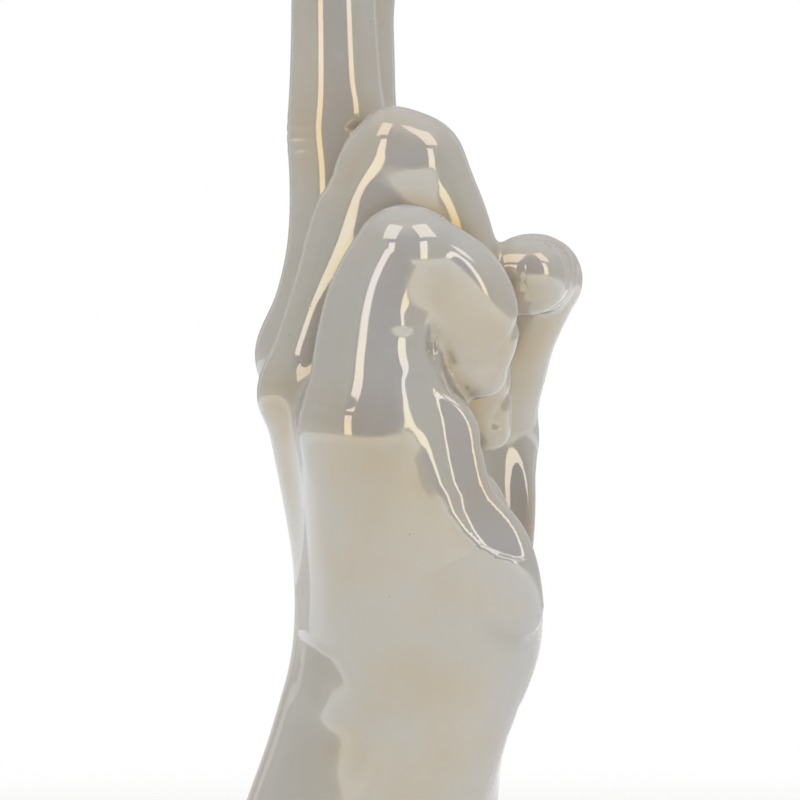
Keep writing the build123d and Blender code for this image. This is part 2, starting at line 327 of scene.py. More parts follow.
class Limb:
    """A smooth, round-ended limb through rows of x, y, z and radius, with its skin's relief."""

    # Beyond this distance the field is only a rough one
    CLEAR = 7.0
    MARK_STEP = 1.5

    # Heights and widths at a joint; the wrinkles also have a pitch, and the pads a place
    KNUCKLE, WRINKLES, CREASE, PADS = (0.4, 5.0), (0.07, 3.4, 2.9), (0.85, 0.95), (0.4, 3.4, 4.0)

    # The nail as shares of the tip's radius, then its groove, its plate and its free edge
    NAIL_LENGTH, NAIL_BREADTH, NAIL_PLACE = 0.86, 0.78, 0.02
    GROOVE, PLATE, FREE_EDGE = (0.45, 1.08, 0.14), 0.16, 0.35
    TIP_PAD = (0.45, 0.2, 0.9)

    def __init__(self, rows, side, flat=1.0, joints=(), nail=False, power=2.25):
        places = np.array(rows)
        steps = np.linalg.norm(np.diff(places[:, :3], axis=0), axis=1)
        lengths = np.concatenate(([0.0], np.cumsum(steps)))
        self.curve = Curve(np.column_stack((lengths, places)))
        self.length = lengths[-1]
        self.side, self.flat = np.array(side), flat
        self.joints = [lengths[i] for i in joints]
        self.nail, self.power = nail, power
        self.tip = places[-1, 3]
        self.marks = np.linspace(0.0, self.length, max(4, int(self.length / self.MARK_STEP)))
        self.line = self.curve(self.marks)[0]
        reach = self.line[:, 3].max() + self.CLEAR
        self.low, self.high = self.line[:, :3].min(0) - reach, self.line[:, :3].max(0) + reach

    def nearest(self, points):
        """Where along the limb each point belongs."""
        line = self.line[:, :3]
        square = (line * line).sum(-1) - 2 * points @ line.T
        where = self.marks[np.argmin(square, 1)]
        reach = self.length / len(self.marks)
        for _ in range(3):
            here, ahead, turn = (rows[:, :3] for rows in self.curve(where))
            offset = points - here
            miss = (offset * ahead).sum(-1)
            pull = np.maximum((ahead * ahead).sum(-1) - (offset * turn).sum(-1), 0.3)
            where = np.clip(where + np.clip(miss / pull, -reach, reach), 0.0, self.length)
        return where

    def relief(self, along, outward, across):
        """How far creases, knuckles, pads and the nail raise the skin."""
        facing = outward / np.maximum(np.hypot(outward, across), 0.1)
        upper, under = ease(facing, 0.0, 1.0), ease(-facing, 0.0, 0.9)
        raised = np.zeros(len(along))
        (knuckle, knuckle_width), (crease, crease_width) = self.KNUCKLE, self.CREASE
        (wrinkle, wrinkle_width, pitch), (pad, pad_width, aside) = self.WRINKLES, self.PADS
        for joint in self.joints:
            past = along - joint
            raised += knuckle * upper * bell(past, knuckle_width)
            raised -= wrinkle * upper**3 * bell(past, wrinkle_width) * (1 + np.cos(past * pitch))
            raised -= crease * under * bell(past, crease_width)
            raised += pad * under * (bell(past - aside, pad_width) + bell(past + aside, pad_width))
        if self.nail:
            length, breadth = self.NAIL_LENGTH * self.tip, self.NAIL_BREADTH * self.tip
            past = along - self.length - self.NAIL_PLACE * self.tip
            edge = (np.abs(past / length) ** 3 + np.abs(across / breadth) ** 3) ** (1 / 3)
            over = ease(facing, 0.05, 0.35)
            groove, at, groove_width = self.GROOVE
            pad, place, pad_width = self.TIP_PAD
            behind = ease(-past, -0.5 * length, 0.3 * length)
            raised -= groove * over * bell(edge - at, groove_width) * behind
            raised += self.PLATE * over * ease(-edge, -1.0, -0.8)
            raised -= self.FREE_EDGE * over * ease(past, 0.86 * length, 1.15 * length)
            raised += pad * under * bell(past + place * self.tip, pad_width * self.tip)
        return raised

    def __call__(self, points, fine):
        field = np.linalg.norm(
            np.maximum(np.maximum(self.low - points, points - self.high), 0.0), axis=1
        )
        field += self.CLEAR
        close = np.flatnonzero(field == self.CLEAR)
        if len(close):
            where = self.nearest(points[close])
            rows, ahead, _ = self.curve(where)
            gap = points[close] - rows[:, :3]
            ahead = ahead[:, :3] / np.linalg.norm(ahead[:, :3], axis=1, keepdims=True)
            back = np.cross(ahead, self.side)
            back /= np.linalg.norm(back, axis=1, keepdims=True)
            beyond, outward = (gap * ahead).sum(-1), (gap * back).sum(-1)
            across = (gap * np.cross(ahead, back)).sum(-1)
            parts = np.abs(np.stack((beyond, outward, across / self.flat)))
            field[close] = (parts**self.power).sum(0) ** (1 / self.power) - rows[:, 3]
            if fine and (self.joints or self.nail):
                field[close] -= fine * self.relief(where + beyond, outward, across)
        return field


ARM = Curve(ARM_LEVELS)
EDGES = [Limb(HEEL_SIDE, ACROSS, 0.6, power=4.0), Limb(HEEL_EDGE, ACROSS)]
MOUNDS = [Limb(rows, ACROSS) for rows in (THENAR, HYPOTHENAR, FINGER_PADS, WEB)]
LIMBS = {name: [Limb(*limb) for limb in limbs] for name, (limbs, _, _) in DIGITS.items()}


def arm(points):
    """The forearm, wrist and the block of the palm."""
    back, front, little, thumb, square = ARM(points[:, 2])[0].T
    deep, broad = (front - back) / 2, (thumb - little) / 2
    x = np.abs(points[:, 0] - (front + back) / 2) / deep
    y = np.abs(points[:, 1] - (thumb + little) / 2) / broad
    side = ((x**square + y**square) ** (1 / square) - 1) * np.minimum(deep, broad)
    return -blend(-side, ARM_TOP - points[:, 2], ARM_TOP_ROUND)


def lump(points, shape):
    """Roughly the distance from an egg-shaped lump, given by its middle and its radii."""
    centre, radii = np.array(shape)
    near = (points - centre) / radii
    size = np.sqrt((near * near).sum(-1))
    steep = np.sqrt(((near / radii) ** 2).sum(-1)) + 1e-6
    return size * (size - 1) / steep


def past_face(points, face):
    """How far points lie beyond a flat face, given by a place and the way that it faces."""
    place, way = np.array(face)
    return (points - place) @ way / np.linalg.norm(way)


def palm_lines(points):
    """How deep the lines of the palm and wrist are pressed in."""
    sunk = np.zeros(len(points))
    near, low, high = PALM_LINES_BOX
    height = points[:, 2]
    front = np.flatnonzero((points[:, 0] > near) & (height > low) & (height < high))
    flat = points[front, 1:]
    for path, depth, width in PALM_LINES:
        line = Curve(np.column_stack((np.arange(len(path)), path)))
        marks = np.linspace(0, len(path) - 1, 12 * len(path))
        places = line(marks)[0]
        least = np.full(len(front), 1e9)
        for start, end in zip(places[:-1], places[1:]):
            run = end - start
            share = np.clip((flat - start) @ run / (run @ run), 0.0, 1.0)
            offset = flat - start - share[:, None] * run
            least = np.minimum(least, (offset * offset).sum(-1))
        ends = np.minimum(*(np.linalg.norm(flat - places[i], axis=1) for i in (0, -1)))
        sunk[front] += depth * bell(np.sqrt(least), width) * ease(ends, 0.0, LINE_END_FADE)
    return sunk * ease(points[:, 0], *PALM_LINES_FADE)


def wrist_side(points):
    """How deep the side of the wrist towards the little finger is hollowed."""
    start, up, around = WRIST_SIDE_FADES
    across = points[:, 0] - np.interp(points[:, 2], *zip(*WRIST_SIDE_START))
    hollow = WRIST_SIDE_DEPTH * ease(-across, *start) * ease(points[:, 2], *up)
    middle, height, breadth, length, depth, soft = WRIST_DENT
    away = np.hypot((points[:, 0] - middle) / breadth, (points[:, 2] - height) / length)
    return (hollow + depth * bell(away, soft)) * ease(-points[:, 1], *around)


def metacarpals(points):
    """The four long bones of the palm."""
    fields = [bone(points, start, end) for start, end in METACARPALS]
    return functools.reduce(lambda one, other: blend(one, other, METACARPAL_BLEND), fields)


def heel_face(points):
    """Below zero where the flat face in the palm's edge is cut."""
    past = points[:, 0] - np.interp(points[:, 2], *zip(*HEEL_FACE_START))
    return -past_face(points, HEEL_FACE) - HEEL_FACE_BEND * blend(past, 0.0, HEEL_FACE_START_BLEND)


def palm(points, fine):
    """All that is cast in one with the arm."""
    field = blend(arm(points), metacarpals(points), PALM_BLEND)
    field = -blend(-field, lump(points, PALM_HOLLOW), PALM_HOLLOW_BLEND)
    for mound, width in zip(MOUNDS, MOUND_BLENDS):
        field = blend(field, mound(points, 0.0), width)
    wrist = np.linalg.norm(points - np.array(WRIST_BONE[:3]), axis=1) - WRIST_BONE[3]
    field = blend(field, wrist, WRIST_BONE_BLEND)
    for edge, width in zip(EDGES, EDGE_BLENDS):
        field = blend(field, edge(points, 0.0), width)
    field = -blend(-field, heel_face(points), HEEL_FACE_BLEND)
    field = -blend(-field, lump(points, THENAR_HOLLOW), THENAR_HOLLOW_BLEND)
    return field + fine * (palm_lines(points) + wrist_side(points)) if fine else field


def digit(points, name, fine):
    """One digit by itself."""
    fold = DIGITS[name][1][0]
    fields = [limb(points, fine) for limb in LIMBS[name]]
    if name == "little_finger":
        fields[1] = -blend(-fields[1], -past_face(points, LITTLE_SIDE), LITTLE_CUT_BLEND)
    field = functools.reduce(lambda one, other: blend(one, other, fold), fields)
    if name == "little_finger":
        field = -blend(-field, lump(points, LITTLE_DENT), LITTLE_CUT_BLEND)
        field = blend(field, lump(points, LITTLE_KNOB), LITTLE_KNOB_BLEND)
    return field


def hand(points, fine=0.0):
    """The whole hand's field: the distance out of the clay. fine is how full the relief is."""
    field = palm(points, fine)
    for name in DIGITS:
        field = blend(field, digit(points, name, fine), DIGITS[name][1][1])
    return -blend(-field, points[:, 2] - FOOT, FOOT_ROUND)


def owner(points):
    """Which casting each point belongs to, by its place in CASTINGS."""
    body = palm(points, 0.0)
    fields = []
    for name in DIGITS:
        luting, way = np.array(DIGITS[name][2])
        past = (points - luting) @ way
        field = digit(points, name, 0.0)
        near = np.linalg.norm(points - luting, axis=1) < LUTING_REACH
        body = np.where(near, np.minimum(body, np.maximum(field, past)), body)
        fields.append(np.where(near, np.maximum(field, -past), field))
    return np.argmin([body, *fields], 0)


def slope(field, points, reach=0.05):
    """A field's value and its gradient, from four readings round each point."""
    corners = np.array(((1, -1, -1), (-1, 1, -1), (-1, -1, 1), (1, 1, 1)), float)
    readings = [field(points + corner * reach) for corner in corners]
    value = sum(readings) / 4
    gradient = sum(r[:, None] * corner for r, corner in zip(readings, corners)) / (4 * reach)
    return value, gradient


def settle(field, points):
    """Moves points onto the field's surface."""
    value, gradient = slope(field, points)
    steep = np.maximum((gradient * gradient).sum(-1), 0.05)
    return points - gradient * (value / steep)[:, None]


def skin(field, step, ratio=5, batch=200000):
    """The surface of a field as points and four-sided faces, by surface nets."""
    low, high = np.array(FIELD_BOX, float)
    coarse = step * ratio
    blocks = np.ceil((high - low) / coarse).astype(int)
    axes = [low[i] + coarse * (np.arange(blocks[i]) + 0.5) for i in range(3)]
    centres = np.stack(np.meshgrid(*axes, indexing="ij"), -1).reshape(-1, 3)
    rough = field(centres)
    reach = coarse * math.sqrt(3) / 2 * 1.6 + step
    size = blocks * ratio + 1
    values = np.repeat(np.repeat(np.repeat(rough.reshape(blocks), ratio, 0), ratio, 1), ratio, 2)
    values = np.pad(values, ((0, 1), (0, 1), (0, 1)), "edge")
    near = np.zeros(size, bool)
    for i, j, k in np.argwhere(np.abs(rough).reshape(blocks) < reach) * ratio:
        near[i : i + ratio + 1, j : j + ratio + 1, k : k + ratio + 1] = True
    where = np.argwhere(near)
    for part in np.array_split(np.arange(len(where)), max(1, len(where) // batch)):
        rows = where[part]
        values[tuple(rows.T)] = field(low + rows * step)
    inside = values < 0
    total = np.zeros(np.array(size) - 1, np.int8)
    for corner in np.ndindex(2, 2, 2):
        total += inside[tuple(slice(c, n - 1 + c) for c, n in zip(corner, size))]
    cells = np.argwhere((total > 0) & (total < 8))
    number = np.full(total.shape, -1)
    number[tuple(cells.T)] = np.arange(len(cells))
    weight, middle = np.zeros(len(cells)), np.zeros((len(cells), 3))
    for axis in range(3):
        for corner in np.ndindex(2, 2):
            start = np.insert(np.array(corner), axis, 0)
            stop = np.insert(np.array(corner), axis, 1)
            a, b = values[tuple((cells + start).T)], values[tuple((cells + stop).T)]
            cross = (a < 0) != (b < 0)
            share = np.where(cross, a / np.where(cross, a - b, 1), 0)
            middle += cross[:, None] * (start + share[:, None] * (stop - start))
            weight += cross
    places = low + (cells + middle / weight[:, None]) * step
    faces = []
    for axis in range(3):
        u, v = (axis + 1) % 3, (axis + 2) % 3
        here, ahead = [slice(1, -1)] * 3, [slice(1, -1)] * 3
        here[axis], ahead[axis] = slice(0, -1), slice(1, None)
        a, b = inside[tuple(here)], inside[tuple(ahead)]
        for flag, order in ((a & ~b, (0, 1, 2, 3)), (~a & b, (3, 2, 1, 0))):
            ring = []
            for across, along in ((1, 1), (0, 1), (0, 0), (1, 0)):
                cell = np.argwhere(flag)
                cell[:, u] += across
                cell[:, v] += along
                ring.append(number[tuple(cell.T)])
            faces.append(np.stack([ring[i] for i in order], 1))
    return places, np.concatenate(faces)


def sides(faces):
    """Every side of every face, as pairs of points: all first sides, all second, and so on."""
    return np.concatenate([faces[:, [i, (i + 1) % 4]] for i in range(4)])


def quarter(points, faces):
    """Cuts each face in four."""
    pairs, back = np.unique(np.sort(sides(faces), 1), axis=0, return_inverse=True)
    back = back.reshape(4, -1) + len(points)
    middle = len(points) + len(pairs) + np.arange(len(faces))
    points = np.concatenate((points, points[pairs].mean(1), points[faces].mean(1)))
    corners = [np.stack((faces[:, i], back[i], middle, back[i - 1]), 1) for i in range(4)]
    return points, np.concatenate(corners)


def average(points, pairs):
    """The mean of the points that each point is paired with, or the point where it has none."""
    pairs = np.concatenate((pairs, pairs[:, ::-1]))
    count = np.bincount(pairs[:, 0], minlength=len(points))
    others = points[pairs[:, 1]].T
    total = np.stack([np.bincount(pairs[:, 0], one, minlength=len(points)) for one in others], 1)
    return np.where(count[:, None] > 0, total / np.maximum(count, 1)[:, None], points)


def neighbours(faces):
    """Pairs of faces that share a side, and the two points of each shared side."""
    pairs, back = np.unique(np.sort(sides(faces), 1), axis=0, return_inverse=True)
    order = np.argsort(back.ravel(), kind="stable")
    sorted_back = back.ravel()[order]
    first = np.flatnonzero(sorted_back[1:] == sorted_back[:-1])
    owners = np.tile(np.arange(len(faces)), 4)[order]
    return np.stack((owners[first], owners[first + 1]), 1), pairs[sorted_back[first]]


def patches(labels, joined):
    """A number for each connected patch of faces of one label."""
    same = joined[labels[joined[:, 0]] == labels[joined[:, 1]]]
    patch = np.arange(len(labels))
    while True:
        least = np.minimum(patch[same[:, 0]], patch[same[:, 1]])
        fresh = patch.copy()
        np.minimum.at(fresh, same[:, 0], least)
        np.minimum.at(fresh, same[:, 1], least)
        for _ in range(4):
            fresh = np.minimum(fresh, fresh[fresh])
        if (fresh == patch).all():
            return patch
        patch = fresh


def share_out(points, faces):
    """The casting that each face belongs to: one whole patch for each, with no stray faces."""
    labels = owner(points[faces].mean(1))
    joined, _ = neighbours(faces)
    both = np.concatenate((joined, joined[:, ::-1]))
    for _ in range(12):
        votes = np.zeros((len(faces), len(CASTINGS)))
        np.add.at(votes, (both[:, 0], labels[both[:, 1]]), 1)
        votes[np.arange(len(faces)), labels] += OWN_VOTES
        labels = votes.argmax(1)
    for _ in range(4):
        patch = patches(labels, joined)
        sizes = np.bincount(patch, minlength=len(faces))
        keep = np.zeros(len(faces), bool)
        for kind in range(len(CASTINGS)):
            mine = np.flatnonzero(labels == kind)
            keep |= patch == patch[mine[np.argmax(sizes[patch[mine]])]]
        while not keep.all():
            rim = both[~keep[both[:, 0]] & keep[both[:, 1]]]
            labels[rim[:, 0]] = labels[rim[:, 1]]
            keep[rim[:, 0]] = True
    return labels


@functools.lru_cache(maxsize=1)
def glazed_surface(step, fine):
    """The whole hand's surface: points, faces, normals, castings, and the hollows and crests where
    shade and highlight are painted.
    """
    full = functools.partial(hand, fine=fine)
    points, faces = skin(hand, step)
    points = settle(hand, points)
    for _ in range(2):
        points = settle(hand, average(points, sides(faces)))
    points, faces = quarter(points, faces)
    points = settle(full, points)
    labels = share_out(points, faces)
    joined, shared = neighbours(faces)
    seam = shared[labels[joined[:, 0]] != labels[joined[:, 1]]]
    on_seam = np.zeros(len(points), bool)
    on_seam[seam.ravel()] = True
    for _ in range(8):
        points = np.where(on_seam[:, None], (points + average(points, seam)) / 2, points)
    for _ in range(3):
        moved = average(points, shared)
        points = settle(full, np.where(on_seam[:, None], points, moved))
    _, normals = slope(full, points)
    normals /= np.maximum(np.linalg.norm(normals, axis=1, keepdims=True), 1e-9)
    # Painted shade: how near clay lies out in front of each point, for darker glaze in hollows and
    # creases
    hollow = np.clip(1 - hand(points + normals * SHADE_REACH) / SHADE_REACH, 0.0, 1.0)
    # Painted highlight: how thin the clay is behind each point, for lighter glaze on crests
    crest = np.clip(1 + hand(points - normals * SHADE_REACH) / SHADE_REACH, 0.0, 1.0)
    return points, faces, normals, labels, hollow, crest


def loops(faces):
    """The open rims of a mesh, each as points in order against the faces' way round."""
    known = collections.Counter(map(tuple, sides(faces).tolist()))
    onward = {}
    for (a, b), count in known.items():
        for _ in range(count - known.get((b, a), 0)):
            onward.setdefault(b, []).append(a)
    rims = []
    while onward:
        start = next(iter(onward))
        rim, here = [start], start
        while True:
            ahead = onward[here].pop()
            if not onward[here]:
                del onward[here]
            if ahead == start:
                break
            rim.append(ahead)
            here = ahead
        rims.append(rim)
    return rims


def sink(points, depth, rounds):
    """Pushes points at least so deep into the clay."""
    for _ in range(rounds):
        value, gradient = slope(hand, points, 0.2)
        short = np.maximum(value + depth, 0.0) / np.maximum((gradient * gradient).sum(-1), 0.2)
        points = points - gradient * short[:, None]
    return points


def luting_face(rim):
    """Ever smaller and deeper rings inside a rim, and the middle of the last one."""
    rings, ring = [], rim
    for share, depth in LUTING_RINGS:
        ring = sink(ring + (ring.mean(0) - ring) * share, depth, 5)
        for _ in range(3):
            ring = ring / 2 + (np.roll(ring, 1, 0) + np.roll(ring, -1, 0)) / 4
        rings.append(ring)
    return rings, sink(ring.mean(0)[None], depth, 12)


def link_piece(name, mesh):
    """An object for the mesh, at the origin."""
    piece = bpy.data.objects.new(name, mesh)
    bpy.context.scene.collection.objects.link(piece)
    return piece


def mesh_of(name, points, faces, material, smooth=True):
    """A mesh of points in metres, in one material."""
    mesh = bpy.data.meshes.new(name)
    mesh.from_pydata(points, [], faces)
    mesh.polygons.foreach_set("use_smooth", [smooth] * len(mesh.polygons))
    mesh.materials.append(material)
    return mesh


def casting(name, look, material):
    """One casting: its stretch of the glazed surface, closed inside the clay at each joint."""
    points, faces, normals, labels, hollow, crest = glazed_surface(look.mesh_step, look.relief)
    faces = faces[labels == CASTINGS.index(name)]
    used, faces = np.unique(faces, return_inverse=True)
    faces = faces.reshape(-1, 4)
    points, normals, hollow, crest = points[used], normals[used], hollow[used], crest[used]
    caps = []
    for rim in loops(faces):
        rings, middle = luting_face(points[rim])
        outer = np.array(rim)
        for ring in rings:
            inner = len(points) + np.arange(len(rim))
            caps += np.stack((np.roll(outer, 1), outer, inner, np.roll(inner, 1)), 1).tolist()
            points, outer = np.vstack((points, ring)), inner
        caps += [(outer[i - 1], outer[i], len(points)) for i in range(len(rim))]
        points = np.vstack((points, middle))
    added = len(points) - len(normals)
    mesh = mesh_of("glazed_" + name, (points * MM).tolist(), faces.tolist() + caps, material)
    # The hollows and crests that the glaze's painted shade and painted highlight follow
    for key, values in (("hollow", hollow), ("crest", crest)):
        data = mesh.attributes.new(key, "FLOAT", "POINT").data
        data.foreach_set("value", np.pad(values, (0, added)))
    mesh.normals_split_custom_set_from_vertices(np.pad(normals, ((0, added), (0, 0))).tolist())
    mesh.update()
    piece = link_piece("glazed_" + name, mesh)
    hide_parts(name)
    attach(piece, "root")


class Wiring:
    """A node tree that is wired by short calls."""

    def __init__(self, tree):
        self.tree = tree
        tree.nodes.clear()

    def add(self, kind, inputs=None, **settings):
        node = self.tree.nodes.new(kind)
        for key, value in settings.items():
            setattr(node, key, value)
        for key, value in (inputs or {}).items():
            self.join(value, node.inputs[key])
        return node

    def join(self, value, socket):
        """Links a socket to another, or sets its value."""
        if isinstance(value, bpy.types.NodeSocket):
            self.tree.links.new(value, socket)
        else:
            socket.default_value = (*value, 1.0) if socket.type == "RGBA" else value

    def out(self, kind, inputs=None, **settings):
        """The first output of a new node."""
        return self.add(kind, inputs, **settings).outputs[0]

    def end(self, kind, socket):
        """Sends a socket out of the tree."""
        self.join(socket, self.add(kind).inputs[0])

    def maths(self, operation, *values):
        return self.out("ShaderNodeMath", dict(enumerate(values)), operation=operation)

    def total(self, value, *terms):
        """A value plus each term, a socket and how many times it counts."""
        for socket, times in terms:
            value = self.maths("MULTIPLY_ADD", socket, times, value)
        return value

    def layers(self, colour, *coats):
        """A colour under coats, each a share and a colour."""
        for share, coat in coats:
            inputs = {0: share, 6: colour, 7: coat}
            colour = self.add("ShaderNodeMix", inputs, data_type="RGBA").outputs[2]
        return colour

    def spread(self, value, low, high, to_low=0.0, to_high=1.0, smooth=False):
        """A value brought from one range to another."""
        inputs = {0: value, 1: low, 2: high, 3: to_low, 4: to_high}
        kind = "SMOOTHSTEP" if smooth else "LINEAR"
        return self.out("ShaderNodeMapRange", inputs, interpolation_type=kind)

    def noise(self, place, size, detail=2.0, rough=0.5):
        """Soft random variation with features of the given size in millimetres."""
        inputs = {"Vector": place, "Scale": 1.0 / (size * MM), "Detail": detail, "Roughness": rough}
        return self.out("ShaderNodeTexNoise", inputs)

    def bump(self, height, distance, strength):
        inputs = {"Strength": strength, "Distance": distance, "Height": height}
        return self.out("ShaderNodeBump", inputs)

    def split(self, place):
        """The x, y and z of a place."""
        return self.add("ShaderNodeSeparateXYZ", {0: place}).outputs

    def surface(self, inputs):
        return self.out("ShaderNodeBsdfPrincipled", inputs)

    def glow(self, colour, strength=1.0):
        return self.out("ShaderNodeEmission", {"Color": colour, "Strength": strength})

    def between(self, share, first, second):
        """A surface between two others."""
        return self.out("ShaderNodeMixShader", {0: share, 1: first, 2: second})

    def seen(self):
        """One for a ray from the camera, or one that the gloss or glass sends on."""
        path = self.add("ShaderNodeLightPath").outputs
        either = self.maths("MAXIMUM", path["Is Camera Ray"], path["Is Glossy Ray"])
        return self.maths("MAXIMUM", either, path["Is Transmission Ray"])


def new_material(name):
    """An empty material, its wiring and the place on the piece."""
    material = bpy.data.materials.new(name)
    material.use_nodes = True
    wiring = Wiring(material.node_tree)
    return material, wiring, wiring.add("ShaderNodeTexCoord").outputs["Object"]


def tint(colour, times):
    """A colour made lighter or darker."""
    return tuple(min(1.0, part * times) for part in colour)


@functools.lru_cache(maxsize=1)
def pearl_glaze(body, painted_shade_colour, warm, film, film_spread, gloss, ripple):
    """Glossy grey-beige glaze under a thin pearl lustre, with painted shade in its hollows, a
    painted highlight on its crests, and the bare clay of the foot.
    """
    material, wiring, place = new_material("pearl_glaze")
    hollow, crest = (
        wiring.add("ShaderNodeAttribute", attribute_name=name).outputs["Fac"]
        for name in ("hollow", "crest")
    )
    broad = wiring.noise(place, 46.0)
    middling = wiring.noise(place, 14.0, 3.0, 0.55)
    fine = wiring.noise(place, 2.4)
    cells = wiring.add("ShaderNodeTexVoronoi", {"Vector": place, "Scale": 1 / (SPECK_CELL * MM)})
    chance = wiring.out("ShaderNodeSeparateColor", {0: cells.outputs["Color"]})
    chosen = wiring.maths("GREATER_THAN", chance, CELLS_WITHOUT_SPECK)
    speck = wiring.spread(cells.outputs["Distance"], *SPECK_EDGE, 1.0, 0.0)
    speck = wiring.maths("MULTIPLY", speck, chosen)
    colour = wiring.layers(
        body,
        (wiring.spread(broad, 0.42, 0.66, smooth=True), warm),
        (wiring.spread(middling, 0.35, 0.7, 0.0, 0.3), tint(body, 0.86)),
        # Painted shade: the glaze darkened in hollows and creases, where shade falls
        (wiring.spread(hollow, 0.12, 0.75, 0.0, 0.75), painted_shade_colour),
        # Painted highlight: the glaze lightened on crests
        (wiring.spread(crest, 0.35, 0.9, 0.0, 0.35), tint(body, 1.16)),
        # Dark specks in the glaze, in a darker tint of the painted shade's colour
        (wiring.maths("MULTIPLY", speck, 0.55), tint(painted_shade_colour, 0.45)),
    )
    depth = wiring.total(
        film,
        (wiring.spread(broad, 0.3, 0.7, -1.0, 1.0), film_spread),
        (wiring.spread(middling, 0.3, 0.7, -0.5, 0.5), film_spread),
        (hollow, film_spread * 1.4),
    )
    rough = wiring.spread(wiring.noise(place, 9.0, 4.0, 0.6), 0.35, 0.75, gloss, gloss * 2.2)
    height = wiring.total(wiring.noise(place, 11.0, 1.0), (fine, 0.06), (speck, -0.35))
    glaze = wiring.surface(
        {
            "Base Color": colour,
            "Roughness": rough,
            "IOR": 1.5,
            "Normal": wiring.bump(height, ripple, 1.0),
            "Thin Film Thickness": depth,
            "Thin Film IOR": 2.2,
            "Coat Weight": 0.35,
            "Coat Roughness": 0.03,
        }
    )
    grit = wiring.noise(place, 0.7, 3.0, 0.7)
    clay = wiring.surface(
        {
            "Base Color": wiring.layers(DARK_CLAY, (wiring.spread(grit, 0.3, 0.7), PALE_CLAY)),
            "Roughness": 0.85,
            "Normal": wiring.bump(grit, 0.12 * MM, 0.6),
        }
    )
    line = wiring.total(wiring.split(place)["Z"], (wiring.noise(place, 12.0), -2.0 * MM))
    glazed = wiring.spread(line, (FOOT - 0.2) * MM, (FOOT + 0.15) * MM, smooth=True)
    wiring.end("ShaderNodeOutputMaterial", wiring.between(glazed, clay, glaze))
    return material


def felt_wool(colour):
    """Pressed wool felt: matted fibres, soft edge-on."""
    material, wiring, place = new_material("felt_wool")
    streaks = wiring.out("ShaderNodeMapping", {"Vector": place, "Scale": (1.0, 1.0, 2.5)})
    matted = wiring.noise(streaks, 0.9, 5.0, 0.7)
    shade = wiring.layers(
        tint(colour, 0.55),
        (wiring.spread(matted, 0.3, 0.72), tint(colour, 1.5)),
        (wiring.spread(wiring.noise(place, 7.0), 0.4, 0.7, 0.0, 0.35), tint(colour, 0.8)),
    )
    wool = wiring.surface(
        {
            "Base Color": shade,
            "Roughness": 0.95,
            "Specular IOR Level": 0.15,
            "Sheen Weight": 0.35,
            "Sheen Roughness": 0.5,
            "Normal": wiring.bump(matted, 0.25 * MM, 0.8),
        }
    )
    wiring.end("ShaderNodeOutputMaterial", wool)
    return material


def felt_outline(margin, swell):
    """The felt's cut edge: the foot's outline less the margin, a little uneven from the shears."""
    turns = np.arange(FELT_SIDES) * 2 * math.pi / FELT_SIDES
    back, front, little, thumb, square = ARM(np.array((FOOT,)))[0][0]
    uneven = 0.12 * np.sin(7 * turns + 0.4) * np.sin(3 * turns) + 0.06 * np.sin(23 * turns)

    def edge(wave, low, high):
        half = (high - low) / 2 - margin + swell + uneven
        return np.sign(wave) * np.abs(wave) ** (2 / square) * half + (low + high) / 2

    return edge(np.cos(turns), back, front), edge(np.sin(turns), little, thumb)


def felt_sheet(thickness, margin):
    """The felt's mesh: rings from the middle of its underside, round its edge, to its top."""
    flat = (-20.0, -8.0, -2.0)
    turns = [math.pi * (step / 6 - 0.5) for step in range(7)]
    profile = [(0.0, swell) for swell in flat]
    profile += [
        (thickness * (0.5 + 0.5 * math.sin(turn)), FELT_ROUND * math.cos(turn) - FELT_ROUND)
        for turn in turns
    ]
    profile += [(thickness, swell) for swell in flat[::-1]]
    built = bmesh.new()
    rings = []
    for height, swell in profile:
        height = min(max(height, 0.02), thickness) * MM
        outline = np.transpose(felt_outline(margin, swell)) * MM
        rings.append([built.verts.new((*place, height)) for place in outline])
    for lower, upper in zip(rings, rings[1:]):
        for i in range(FELT_SIDES):
            built.faces.new((lower[i - 1], lower[i], upper[i], upper[i - 1]))
    for ring, way in ((rings[0], 1), (rings[-1], -1)):
        centre = built.verts.new(sum((v.co for v in ring), start=ring[0].co * 0) / FELT_SIDES)
        for i in range(FELT_SIDES):
            built.faces.new((ring[i], ring[i - 1], centre)[::way])
    bmesh.ops.recalc_face_normals(built, faces=built.faces)
    mesh = bpy.data.meshes.new("felt_sheet")
    built.to_mesh(mesh)
    built.free()
    mesh.polygons.foreach_set("use_smooth", [True] * len(mesh.polygons))
    mesh.update()
    return mesh


